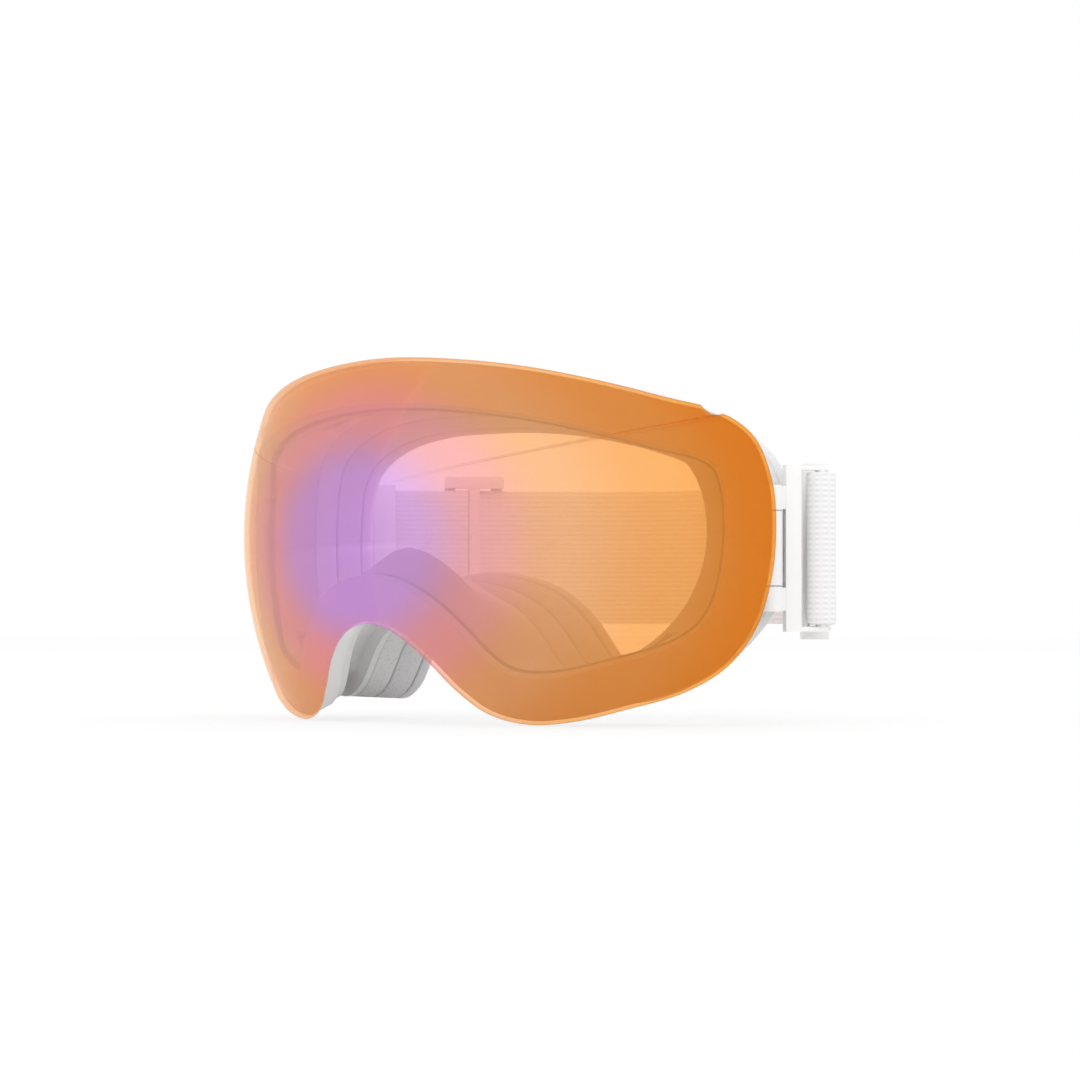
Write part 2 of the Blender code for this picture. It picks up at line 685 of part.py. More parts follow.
def webbing(name, path, home, wall=STRAP_THICKNESS, width=STRAP_WIDTH):
    """Upright band along a path in plan: an open sheet with its thickness on both sides."""
    bm = bmesh.new()
    rows = [
        [bm.verts.new((p.x, p.y, SIDE_Z + z)) for p in path]
        for z in (-width / 2, width / 2)
    ]
    for i in range(len(path) - 1):
        bm.faces.new((rows[0][i], rows[0][i + 1], rows[1][i + 1], rows[1][i]))
    mesh = mesh_of(bm, name)
    part = place(name, mesh, "webbing", home)
    solidify = part.modifiers.new("wall", "SOLIDIFY")
    solidify.thickness = wall
    solidify.offset = 0
    solidify.use_even_offset = True
    return part


def layer_point(distance, offset, side):
    """Place beside the strap's straight middle line, distance from its bar and offset outwards."""
    point = BAR + ALONG * distance + OUTWARD * offset
    return Vector((side * point.x, point.y))


def strap_back(home):
    """Single layer from keeper to keeper, round the back, with a flat run in the middle."""
    start = KEEPER_AT + GAP / 2
    bend = (BAR.x + ALONG.x * STRAP_STRAIGHT - STRAP_BACK_FLAT) / math.sin(STRAP_ANGLE)
    corner = BAR + ALONG * STRAP_STRAIGHT
    centre = corner - OUTWARD * bend
    half = [layer_point(start, LAYER, 1)]
    turns = 12
    for i in range(turns + 1):
        angle = STRAP_ANGLE * (1 - i / turns)
        radial = Vector((math.sin(angle), math.cos(angle)))
        half.append(centre + radial * (bend + LAYER))
    other = [Vector((-p.x, p.y)) for p in reversed(half)]
    webbing("strap_back", half + other, home)
    return centre.y + bend + LAYER + STRAP_THICKNESS / 2


def strap_end(side, label, home):
    """Loop round the outrigger's bar and the tail that comes back to the slider, with the keeper round both."""
    end = KEEPER_AT - GAP / 2
    outer = [layer_point(end, LAYER, side), layer_point(end * 0.55, LAYER, side)]
    inner = [layer_point(end * 0.55, -LAYER, side), layer_point(end, -LAYER, side)]
    turns = 8
    wrap = []
    for i in range(turns + 1):
        angle = math.pi * i / turns
        reach = OUTWARD * math.cos(angle) - ALONG * math.sin(angle)
        point = BAR + reach * WRAP
        wrap.append(Vector((side * point.x, point.y)))
    webbing(f"strap_loop_{label}", outer + wrap + inner, home)
    tail_end = SLIDER_AT - SLIDER_BAR / 2 - GAP
    tail_start = KEEPER_AT + GAP / 2
    tail = [layer_point(tail_start, -LAYER, side), layer_point(tail_end, -LAYER, side)]
    webbing(f"strap_tail_{label}", tail, home)
    keeper(side, label, home)


def strap_axes(side):
    """Directions along, out of and up the strap's straight run."""
    return (
        Vector((side * ALONG.x, ALONG.y, 0)),
        Vector((side * OUTWARD.x, OUTWARD.y, 0)),
        Vector((0, 0, 1)),
    )


def keeper(side, label, home):
    """Moulded loop that holds the two layers together."""
    at = layer_point(KEEPER_AT, 0, side)
    thick = 4 * LAYER + 2 * GAP
    tall = STRAP_WIDTH + 2 * GAP
    outer = (KEEPER_LENGTH, thick + 2 * KEEPER_WALL, tall + 2 * KEEPER_WALL)
    body = box(outer, (0, 0, 0), strap_axes(side))
    location = (at.x, at.y, SIDE_Z)
    part = place(f"strap_keeper_{label}", mesh_of(body, "keeper"), "plastic", home, location)
    room = box((4 * KEEPER_LENGTH, thick, tall), (0, 0, 0), strap_axes(side))
    hole = cutter(f"keeper_hole_{label}", [room], home)
    hole.location = location
    combine(part, hole, "DIFFERENCE")


def slider(side, label, home):
    """Three-bar slider: the band runs inside its outer bars, and the tail ends on the middle bar."""
    along, out, up = axes = strap_axes(side)
    at = layer_point(SLIDER_AT, 0, side)
    shell = 2 * LAYER + GAP  # clear room for the outer layer and its gaps, from the middle line
    low, high = -2 * LAYER, shell + SLIDER_WALL
    tall = STRAP_WIDTH / 2 + 2 * GAP
    shapes = []
    for end in (1, -1):
        middle = along * end * (SLIDER_LENGTH - SLIDER_BAR) / 2 + out * (shell + SLIDER_WALL / 2)
        size = (SLIDER_BAR, SLIDER_WALL, 2 * tall + SLIDER_WALL)
        shapes.append(box(size, middle, axes))
    size = (SLIDER_BAR, 2 * LAYER - GAP, 2 * tall + SLIDER_WALL)
    shapes.append(box(size, out * (low - GAP) / 2, axes))
    for end in (1, -1):
        size = (SLIDER_LENGTH + 0.4 * MM, high - low + 0.4 * MM, 2 * SLIDER_WALL)
        middle = out * (high + low) / 2 + up * end * (tall + SLIDER_WALL)
        shapes.append(box(size, middle, axes))
    order = [3, 0, 1, 2, 4]
    unite(f"slider_{label}", [shapes[i] for i in order], "plastic", home, (at.x, at.y, SIDE_Z))


# ---------------------------------------------------------------- assembly

def main():
    home = bpy.data.objects.new("goggles", None)
    GOGGLES.objects.link(home)
    back_y = strap_back(home)
    lowest = LENS_RADIUS * math.sin(max(-p.y for p in smooth_loop(LENS_HALF)) / LENS_RADIUS)
    home.location = (0, (LENS_RADIUS - back_y) / 2, lowest)
    lens_assembly(home)
    frame(home)
    face_foam(home)
    for side, label in ((1, "left"), (-1, "right")):
        outrigger(side, label, home)
        strap_end(side, label, home)
        slider(side, label, home)


main()
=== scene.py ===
"""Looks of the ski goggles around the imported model: lens, frame, face foam, strap, hardware. Metres, +Z up."""

import logging
import math
from dataclasses import dataclass, field
from enum import Enum

import bmesh
import bpy
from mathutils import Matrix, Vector


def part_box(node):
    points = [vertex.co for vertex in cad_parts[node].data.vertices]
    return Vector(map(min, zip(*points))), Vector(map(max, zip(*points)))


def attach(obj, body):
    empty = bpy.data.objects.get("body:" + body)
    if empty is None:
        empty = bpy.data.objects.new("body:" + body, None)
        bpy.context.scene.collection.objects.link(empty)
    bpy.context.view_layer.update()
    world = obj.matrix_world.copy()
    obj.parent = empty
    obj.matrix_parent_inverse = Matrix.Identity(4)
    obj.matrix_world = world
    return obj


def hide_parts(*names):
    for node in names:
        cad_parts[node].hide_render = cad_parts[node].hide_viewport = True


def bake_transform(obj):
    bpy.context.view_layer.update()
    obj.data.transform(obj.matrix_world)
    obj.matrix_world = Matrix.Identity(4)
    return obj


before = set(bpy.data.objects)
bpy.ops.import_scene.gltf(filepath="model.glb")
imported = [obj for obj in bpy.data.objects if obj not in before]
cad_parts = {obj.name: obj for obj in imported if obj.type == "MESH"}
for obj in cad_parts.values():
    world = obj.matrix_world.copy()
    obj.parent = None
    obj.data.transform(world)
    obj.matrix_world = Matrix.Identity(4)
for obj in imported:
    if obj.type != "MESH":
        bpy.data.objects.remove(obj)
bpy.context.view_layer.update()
LOG = logging.getLogger("ski_goggles")

MM = 0.001
LENS_RADIUS = 104 * MM
SIDE_Z = -4.6 * MM  # strap's and hinge's middle height, from the lens sphere's centre


class Side(Enum):
    """The wearer's left or right, by its sign along X."""

    LEFT = 1
    RIGHT = -1

    @property
    def label(self) -> str:
        """Ending of the names of this side's nodes."""
        return self.name.lower()


def sphere_centre() -> Vector:
    """Centre of the lens sphere.

    Returns:
        Its place in the row frame, from the lens's front and the hinge pin's middle.
    """
    front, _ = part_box("outer_lens")
    low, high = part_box("hinge_pin_left")
    return Vector((0, front.y + LENS_RADIUS, (low.z + high.z) / 2 - SIDE_Z))


CENTRE = sphere_centre()


# ---------------------------------------------------------------- outlines

LENS_EDGE = (
    (0, 1), (0.203, 0.975), (0.406, 0.916), (0.59, 0.826), (0.756, 0.722), (0.876, 0.645), (0.955, 0.505),
    (0.992, 0.27), (1, -0.005), (0.99, -0.264), (0.959, -0.507), (0.899, -0.69), (0.802, -0.822),
    (0.664, -0.913), (0.525, -0.984), (0.406, -1), (0.309, -0.945), (0.235, -0.822), (0.175, -0.68),
    (0.115, -0.564), (0.058, -0.495), (0, -0.471),
)
BACK_EDGE = (
    (0, 1), (0.226, 0.99), (0.452, 0.938), (0.651, 0.846), (0.803, 0.726), (0.903, 0.577), (0.963, 0.397),
    (0.993, 0.179), (1, -0.048), (0.983, -0.276), (0.936, -0.505), (0.863, -0.697), (0.77, -0.846),
    (0.664, -0.952), (0.571, -1), (0.485, -0.995), (0.412, -0.925), (0.363, -0.817), (0.316, -0.697),
    (0.246, -0.587), (0.133, -0.517), (0, -0.493),
)


@dataclass(frozen=True)
class Outline:
    """Closed outline that is the same left and right, from shares of its half width and of its heights."""

    shares: tuple[tuple[float, float], ...]
    half_width: float
    top: float
    drop: float

    def half(self, distance: float | list[float] = 0.0) -> list[Vector]:
        """Half outline moved inwards.

        Args:
            distance: one distance, or one for each station.

        Returns:
            Its points in the outline's own plane.
        """
        points = [
            Vector((a * self.half_width, b * (self.top if b > 0 else self.drop))) for a, b in self.shares
        ]
        loop = points + [Vector((-p.x, p.y)) for p in reversed(points[1:-1])]
        moved = []
        for i, point in enumerate(points):
            along = (loop[(i + 1) % len(loop)] - loop[i - 1]).normalized()
            step = distance[i] if isinstance(distance, list) else distance
            moved.append(point + Vector((along.y, -along.x)) * step)
        moved[0].x = moved[-1].x = 0
        return moved


def catmull_rom(corners: list[Vector], share: float) -> Vector:
    """Point of a centripetal spline.

    Args:
        corners: four control points, of which the middle two end the span.
        share: place along the span, from 0 to 1.

    Returns:
        The point.
    """
    knots = [0.0]
    for a, b in zip(corners, corners[1:]):
        knots.append(knots[-1] + max((b - a).length, 1e-9) ** 0.5)
    t = knots[1] + share * (knots[2] - knots[1])

    def mix(a: Vector, b: Vector, low: float, high: float) -> Vector:
        """Blend of two points over one stretch of knots."""
        return a * ((high - t) / (high - low)) + b * ((t - low) / (high - low))

    first = mix(corners[0], corners[1], knots[0], knots[1])
    second = mix(corners[1], corners[2], knots[1], knots[2])
    third = mix(corners[2], corners[3], knots[2], knots[3])
    low = mix(first, second, knots[0], knots[2])
    high = mix(second, third, knots[1], knots[3])
    return mix(low, high, knots[1], knots[2])


def smooth_loop(half: list[Vector], steps: int) -> list[Vector]:
    """Closed smooth loop through a half outline and its mirror image.

    Args:
        half: control points from the top middle to the bottom middle.
        steps: points for each control point.

    Returns:
        The loop's points.
    """
    loop = list(half)
    for point in reversed(half[1:-1]):
        other = point.copy()
        other.x = -other.x
        loop.append(other)
    count = len(loop)
    points = []
    for i in range(count):
        corners = [loop[(i + k) % count] for k in (-1, 0, 1, 2)]
        points += [catmull_rom(corners, step / steps) for step in range(steps)]
    return points


def on_sphere(point: Vector, radius: float) -> Vector:
    """Place on a sphere about CENTRE, from arc lengths on the lens's outer surface."""
    across, up = point.x / LENS_RADIUS, point.y / LENS_RADIUS
    flat = math.cos(up)
    return CENTRE + Vector((flat * math.sin(across), -flat * math.cos(across), math.sin(up))) * radius


# ---------------------------------------------------------------- meshes

def loft(
    name: str, rings: list[list[Vector]], closed: bool, poles: bool = False, ends: bool = False
) -> bpy.types.Object:
    """Skin through rings with equal counts of points.

    Args:
        name: name of the new object.
        rings: loops of points, in order.
        closed: whether the last ring joins the first one.
        poles: whether the first and last rings are single points.
        ends: whether the first and last rings are filled.

    Returns:
        The new object, with its faces pointing out.
    """
    bm = bmesh.new()
    count = len(rings[0])
    row = bmesh.ops.create_circle(bm, segments=count, radius=1)["verts"]
    for vert, point in zip(row, rings[0]):
        vert.co = point
    edges = list(bm.edges)
    if ends:
        bmesh.ops.edgenet_fill(bm, edges=edges)
    for ring in [*rings[1:], rings[0]] if closed else rings[1:]:
        made = bmesh.ops.extrude_edge_only(bm, edges=edges)["geom"]
        fresh = {v for v in made if isinstance(v, bmesh.types.BMVert)}
        row = [next(e.other_vert(v) for e in v.link_edges if e.other_vert(v) in fresh) for v in row]
        for vert, point in zip(row, ring):
            vert.co = point
        edges = [g for g in made if isinstance(g, bmesh.types.BMEdge)]
    if ends:
        bmesh.ops.edgenet_fill(bm, edges=edges)
    if closed or poles:
        bmesh.ops.remove_doubles(bm, verts=bm.verts, dist=1e-6)
    bmesh.ops.recalc_face_normals(bm, faces=bm.faces)
    mesh = bpy.data.meshes.new(name)
    bm.to_mesh(mesh)
    bm.free()
    mesh.shade_smooth()
    made = bpy.data.objects.new(name, mesh)
    bpy.context.scene.collection.objects.link(made)
    return made


def rounded(rings: list[list[Vector]], radii: list[float], steps: int = 4) -> list[list[Vector]]:
    """Corner rings of a section, with each corner drawn as a small curve.

    Args:
        rings: the section's corners, each a ring of points.
        radii: how far each corner's curve reaches along its sides.
        steps: stretches in each curve.

    Returns:
        More rings, for the same skin with soft edges.
    """
    found = []
    for i, ring in enumerate(rings):
        before, after = rings[i - 1], rings[(i + 1) % len(rings)]
        bends = [[] for _ in range(steps + 1)]
        for a, b, c in zip(before, ring, after):
            start = b + (a - b) * min(0.48, radii[i] / max((a - b).length, 1e-9))
            end = b + (c - b) * min(0.48, radii[i] / max((c - b).length, 1e-9))
            for k, bend in enumerate(bends):
                t = k / steps
                bend.append(start * (1 - t) ** 2 + b * (2 * t * (1 - t)) + end * t**2)
        found += bends
    return found


def softened(node: str, width: float, segments: int = 3) -> bpy.types.Object:
    """Copy of a CAD node with its triangles merged and its sharp edges rounded.

    Args:
        node: the CAD node, which the copy replaces.
        width: the bevel's width.
        segments: the bevel's segments.

    Returns:
        The new object.
    """
    bm = bmesh.new()
    bm.from_mesh(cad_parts[node].data)
    bmesh.ops.remove_doubles(bm, verts=bm.verts, dist=2e-6)
    bmesh.ops.dissolve_limit(
        bm, angle_limit=math.radians(1.5), verts=bm.verts, edges=bm.edges, use_dissolve_boundaries=False
    )
    mesh = bpy.data.meshes.new(node + "_shell")
    bm.to_mesh(mesh)
    bm.free()
    mesh.shade_smooth()
    made = bpy.data.objects.new(node + "_shell", mesh)
    bpy.context.scene.collection.objects.link(made)
    bevel = made.modifiers.new("soft_edges", "BEVEL")
    bevel.width = width
    bevel.segments = segments
    bevel.limit_method = "ANGLE"
    bevel.angle_limit = math.radians(32)
    bevel.harden_normals = False
    bevel.use_clamp_overlap = True
    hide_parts(node)
    return made


# ---------------------------------------------------------------- finishes

def linear(colour: str) -> tuple[float, float, float, float]:
    """Linear colour from an sRGB hex value."""
    parts = [int(colour[i : i + 2], 16) / 255 for i in (1, 3, 5)]
    return (*[p / 12.92 if p <= 0.04045 else ((p + 0.055) / 1.055) ** 2.4 for p in parts], 1.0)


def node(tree: bpy.types.NodeTree, kind: str, links: dict | None = None, **settings: object) -> bpy.types.Node:
    """Adds one node.

    Args:
        tree: the material's node tree.
        kind: the node's type.
        links: value or output socket for each input, by the input's name or number.
        settings: attributes of the node.

    Returns:
        The new node.
    """
    made = tree.nodes.new(kind)
    for key, value in settings.items():
        setattr(made, key, value)
    for key, value in (links or {}).items():
        if isinstance(value, bpy.types.NodeSocket):
            tree.links.new(value, made.inputs[key])
        else:
            made.inputs[key].default_value = value
    return made


def blank(name: str) -> bpy.types.Material:
    """New material with an empty node tree."""
    made = bpy.data.materials.new(name)
    made.use_nodes = True
    made.node_tree.nodes.clear()
    return made


@dataclass(frozen=True)
class Coating:
    """Tinted polycarbonate with a thin mirror coating, whose flash turns violet in the middle of the lens.

    Light crosses the front and the back skin of the sheet, so each skin holds the square root of the pass's tint.
    """

    name: str
    stops: tuple[tuple[float, str], ...]
    gloss: float
    reach: float  # of the tint's stops, from the flash outwards
    mirror: float = 0.0  # share of the coating that mirrors in every direction

    def build(self) -> bpy.types.Material:
        """Makes the material.

        Returns:
            A clear tinted skin under a fresnel-weighted gloss.
        """
        made = blank(self.name)
        tree = made.node_tree
        place = node(tree, "ShaderNodeTexCoord").outputs["Object"]
        flat = node(
            tree, "ShaderNodeMapping", {0: place, 1: -CENTRE + FLASH_OFFSET}, vector_type="POINT"
        ).outputs[0]
        scaled = node(
            tree, "ShaderNodeVectorMath", {0: flat, 1: (1.0, 0.0, 1.25)}, operation="MULTIPLY"
        ).outputs[0]
        far = node(tree, "ShaderNodeVectorMath", {0: scaled}, operation="LENGTH").outputs["Value"]
        share = node(
            tree, "ShaderNodeMapRange", {0: far, 1: 0.0, 2: self.reach, 3: 0.0, 4: 1.0},
            interpolation_type="LINEAR",
        ).outputs[0]
        ramp = node(tree, "ShaderNodeValToRGB", {0: share})
        ramp.color_ramp.interpolation = "EASE"
        stops = ramp.color_ramp.elements
        for _ in self.stops[2:]:
            stops.new(0.5)
        for stop, (place_at, colour) in zip(stops, self.stops):
            stop.position = place_at
            stop.color = linear(colour)
        tint = node(tree, "ShaderNodeBsdfTransparent", {0: ramp.outputs[0]}).outputs[0]
        fresnel = node(tree, "ShaderNodeFresnel", {0: 1.45}).outputs[0]
        weight = node(
            tree, "ShaderNodeMath", {0: fresnel, 1: self.gloss, 2: self.mirror}, operation="MULTIPLY_ADD"
        ).outputs[0]
        flash = node(tree, "ShaderNodeGamma", {0: ramp.outputs[0], 1: 3.1}).outputs[0]
        shine = node(
            tree,
            "ShaderNodeBsdfPrincipled",
            {"Base Color": flash, "Metallic": 1.0, "Roughness": 0.07, "Coat Weight": 0.4},
        ).outputs[0]
        mixed = node(tree, "ShaderNodeMixShader", {0: weight, 1: tint, 2: shine}).outputs[0]
        node(tree, "ShaderNodeOutputMaterial", {0: mixed})
        return made


@dataclass(frozen=True)
class Moulded:
    """Moulded plastic or rubber: a faint spark-eroded grain that softens the gloss."""

    name: str
    colour: str
    roughness: float
    grain_mm: float
    depth: float
    coat: float = 0.0

    def build(self) -> bpy.types.Material:
        """Makes the material from its colour, its grain and its gloss."""
        made = blank(self.name)
        tree = made.node_tree
        place = node(tree, "ShaderNodeTexCoord").outputs["Object"]
        grain = node(tree, "ShaderNodeTexNoise", {0: place, "Scale": 1 / (self.grain_mm * MM), "Detail": 3.0})
        cloud = node(tree, "ShaderNodeTexNoise", {0: place, "Scale": 28.0, "Detail": 2.0})
        body = linear(self.colour)
        shade = (*[c * 0.955 for c in body[:3]], 1)
        tone = node(tree, "ShaderNodeMixRGB", {0: cloud.outputs[0], 1: body, 2: shade})
        rough = node(
            tree, "ShaderNodeMapRange",
            {0: grain.outputs[0], 1: 0.3, 2: 0.7, 3: self.roughness - 0.05, 4: self.roughness + 0.06},
        )
        bump = node(
            tree, "ShaderNodeBump", {"Strength": self.depth, "Distance": 0.05 * MM, "Height": grain.outputs[0]}
        )
        skin = node(
            tree, "ShaderNodeBsdfPrincipled",
            {
                "Base Color": tone.outputs[0], "Roughness": rough.outputs[0], "Normal": bump.outputs[0],
                "IOR": 1.5, "Coat Weight": self.coat, "Coat Roughness": 0.2,
            },
        )
        node(tree, "ShaderNodeOutputMaterial", {0: skin.outputs[0]})
        return made


@dataclass(frozen=True)
class OpenFoam:
    """Open-cell polyurethane foam: little pores in a matt pale body, darkened with painted shade and drawn 1 mm wide
    so that they show.
    """

    name: str
    colour: str
    pore_shade: str
    pore_mm: float
    depth_mm: float
    sheen: float = 0.0

    def build(self) -> bpy.types.Material:
        """Makes the material from pores, a fine fuzz and a soft sheen."""
        made = blank(self.name)
        tree = made.node_tree
        place = node(tree, "ShaderNodeTexCoord").outputs["Object"]
        cells = node(tree, "ShaderNodeTexVoronoi", {0: place, "Scale": 1 / (self.pore_mm * MM)}, feature="F1")
        fuzz = node(tree, "ShaderNodeTexNoise", {0: place, "Scale": 1 / (0.45 * MM), "Detail": 4.0})
        hole = node(tree, "ShaderNodeMapRange", {0: cells.outputs["Distance"], 1: 0.05, 2: 0.38, 3: 0.0, 4: 1.0})
        # the pore colour is painted shade inside the little holes, mixed in by the pore mask
        tone = node(
            tree, "ShaderNodeMixRGB", {0: hole.outputs[0], 1: linear(self.pore_shade), 2: linear(self.colour)}
        )
        height = node(
            tree, "ShaderNodeMath", {0: hole.outputs[0], 1: fuzz.outputs[0]}, operation="ADD"
        )
        bump = node(
            tree, "ShaderNodeBump",
            {"Strength": 0.6, "Distance": self.depth_mm * MM, "Height": height.outputs[0]},
        )
        skin = node(
            tree, "ShaderNodeBsdfPrincipled",
            {
                "Base Color": tone.outputs[0], "Roughness": 0.95, "Normal": bump.outputs[0],
                "Specular IOR Level": 0.2, "Sheen Weight": self.sheen, "Sheen Roughness": 0.6,
            },
        )
        node(tree, "ShaderNodeOutputMaterial", {0: skin.outputs[0]})
        return made


@dataclass(frozen=True)
class Webbing:
    """Woven elastic: fine ribs along the strap, crossed by the weft, with painted shade darkening the troughs
    between the ribs.

    The piece's strap_place attribute holds the distance along the strap and the height above its middle, in metres.
    """

    name: str
    colour: str
    groove_shade: str
    rib_mm: float
    weft_mm: float

    def build(self) -> bpy.types.Material:
        """Makes the material from the ribs' waves."""
        made = blank(self.name)
        tree = made.node_tree
        place = node(tree, "ShaderNodeAttribute", attribute_name="strap_place").outputs["Vector"]
        axes = node(tree, "ShaderNodeSeparateXYZ", {0: place})
        turns = 2 * math.pi / MM

        def wave(axis: bpy.types.NodeSocket, pitch: float) -> bpy.types.NodeSocket:
            """Sine of one repeat each pitch, in millimetres."""
            turned = node(tree, "ShaderNodeMath", {0: axis, 1: turns / pitch}, operation="MULTIPLY").outputs[0]
            return node(tree, "ShaderNodeMath", {0: turned}, operation="SINE").outputs[0]

        rib, weft = wave(axes.outputs[1], self.rib_mm), wave(axes.outputs[0], self.weft_mm)
        crossed = node(tree, "ShaderNodeMath", {0: rib, 1: weft}, operation="MULTIPLY").outputs[0]
        height = node(tree, "ShaderNodeMath", {0: crossed, 1: 0.6, 2: rib}, operation="MULTIPLY_ADD").outputs[0]
        share = node(tree, "ShaderNodeMapRange", {0: height, 1: -1.6, 2: 1.6, 3: 0.0, 4: 1.0}).outputs[0]
        fibre = node(tree, "ShaderNodeTexNoise", {0: place, "Scale": 1 / (0.3 * MM), "Detail": 2.0}).outputs[0]
        # the groove colour is painted shade: the troughs between the ribs get a darker colour where less light would
        # reach
        tone = node(tree, "ShaderNodeMixRGB", {0: share, 1: linear(self.groove_shade), 2: linear(self.colour)})
        total = node(tree, "ShaderNodeMath", {0: fibre, 1: 0.3, 2: share}, operation="MULTIPLY_ADD").outputs[0]
        bump = node(tree, "ShaderNodeBump", {"Strength": 0.7, "Distance": 0.12 * MM, "Height": total})
        skin = node(
            tree, "ShaderNodeBsdfPrincipled",
            {
                "Base Color": tone.outputs[0], "Roughness": 0.8, "Normal": bump.outputs[0],
                "Sheen Weight": 0.25, "Sheen Roughness": 0.5, "Specular IOR Level": 0.3,
            },
        )
        node(tree, "ShaderNodeOutputMaterial", {0: skin.outputs[0]})
        return made


@dataclass(frozen=True)
class Steel:
    """Bright nickel-plated steel with a fine turned grain."""

    name: str = "nickel_plated_steel"

    def build(self) -> bpy.types.Material:
        """Makes the material."""
        made = blank(self.name)
        tree = made.node_tree
        place = node(tree, "ShaderNodeTexCoord").outputs["Object"]
        grain = node(tree, "ShaderNodeTexNoise", {0: place, "Scale": 4000.0, "Detail": 2.0}).outputs[0]
        rough = node(tree, "ShaderNodeMapRange", {0: grain, 1: 0.3, 2: 0.7, 3: 0.22, 4: 0.34}).outputs[0]
        skin = node(
            tree, "ShaderNodeBsdfPrincipled",
            {"Base Color": linear("#C9C9CC"), "Metallic": 1.0, "Roughness": rough},
        )
        node(tree, "ShaderNodeOutputMaterial", {0: skin.outputs[0]})
        return made


FLASH_OFFSET = Vector((4, 0, 3)) * MM  # from the violet flash to the lens's middle
AMBER_TINT = (
    (0.0, "#F7E6FC"), (0.22, "#F8E7FB"), (0.42, "#FFE7E6"), (0.6, "#FFEAD2"), (0.82, "#FFE5BE"), (1.0, "#FFDEA0"),
)
CLEAR_TINT = ((0.0, "#FFFBFE"), (1.0, "#FFFBF6"))


class Palette:
    """All finishes, made once."""

    def __init__(self) -> None:
        """Builds each material."""
        # polycarbonate, dip-coated: deep amber at the rim, rose further in, a violet flash in the middle
        self.outer_lens = Coating("amber_polycarbonate", AMBER_TINT, 0.28, 0.095, 0.3).build()
        # propionate, extruded: nearly clear with a faint warm cast
        self.inner_lens = Coating("warm_clear_propionate", CLEAR_TINT, 0.1, 0.095).build()
        # soft TPU, spark-eroded mould: satin white
        self.frame = Moulded("satin_white_tpu", "#F5F5F5", 0.5, 0.35, 0.25).build()
        # nylon: smoother and glossier than the frame
        self.hard = Moulded("white_nylon", "#F6F6F6", 0.36, 0.5, 0.12, 0.15).build()
        # acrylic foam tape, die-cut: a plain pale grey under the lens's rim
        self.gasket = Moulded("pale_acrylic_gasket_tape", "#DDD8D2", 0.7, 0.6, 0.1).build()
        # each foam's second colour is painted shade inside its pores
        self.spacer = OpenFoam("grey_spacer_foam", "#E4E4E4", "#CFCFCF", 0.9, 0.05).build()
        self.base_foam = OpenFoam("light_grey_foam", "#F1F1F1", "#E2E2E2", 1.1, 0.12).build()
        self.face_foam = OpenFoam("mid_grey_foam", "#EAEAEB", "#D4D4D6", 1.0, 0.14).build()
        self.fleece = OpenFoam("brushed_fleece", "#E8E8E9", "#D8D8DA", 0.55, 0.1, 0.6).build()
        # the webbing's second colour is painted shade in the troughs between its ribs
        self.webbing = Webbing("white_elastic_webbing", "#F5F5F5", "#E2E2E4", 1.3, 1.6).build()
        self.steel = Steel().build()


def dress(piece: bpy.types.Object, material: bpy.types.Material, body: str | None) -> None:
    """Gives a piece its material, logs its name and lets it ride on a body, unless body is None."""
    piece.data.materials.clear()
    piece.data.materials.append(material)
    if body:
        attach(piece, body)
    LOG.info("made %s", piece.name)


# ---------------------------------------------------------------- lens

LOOP_STEPS = 8


